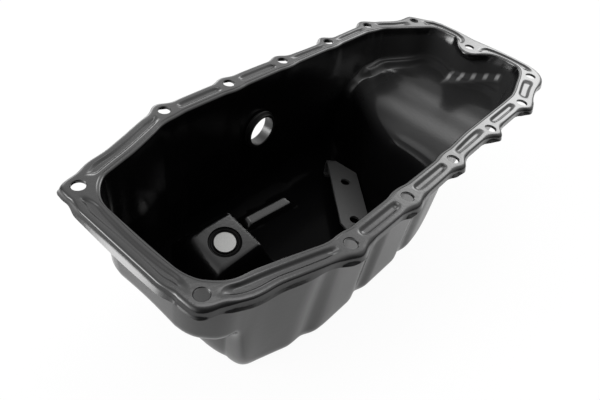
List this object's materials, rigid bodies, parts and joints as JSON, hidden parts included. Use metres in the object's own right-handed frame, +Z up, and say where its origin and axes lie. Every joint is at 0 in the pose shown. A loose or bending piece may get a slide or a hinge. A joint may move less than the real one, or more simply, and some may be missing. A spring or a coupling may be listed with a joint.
{
  "type": "engine oil pan",
  "caption": "Deep-drawn sheet steel oil pan with a stepped sump, beaded bolt flange, side port, drain boss with plug and a floor strip.",
  "frame": {"origin": "middle of the outline's box at the level of the sump's flat underside", "axes": "+X along the pan from the deep end to the shallow end, +Y across towards the side with the port, +Z up to the sealing face"},
  "size_m": [0.3422, 0.149, 0.102],
  "materials": {
    "black_paint": "gloss",
    "plug_steel": "satin"
  },
  "bodies": {
    "root": {"pan_shell": "black_paint", "port_sleeve": "black_paint", "drain_nut": "black_paint", "drain_plug": "plug_steel", "baffle_strip": "black_paint"}
  },
  "joints": []
}
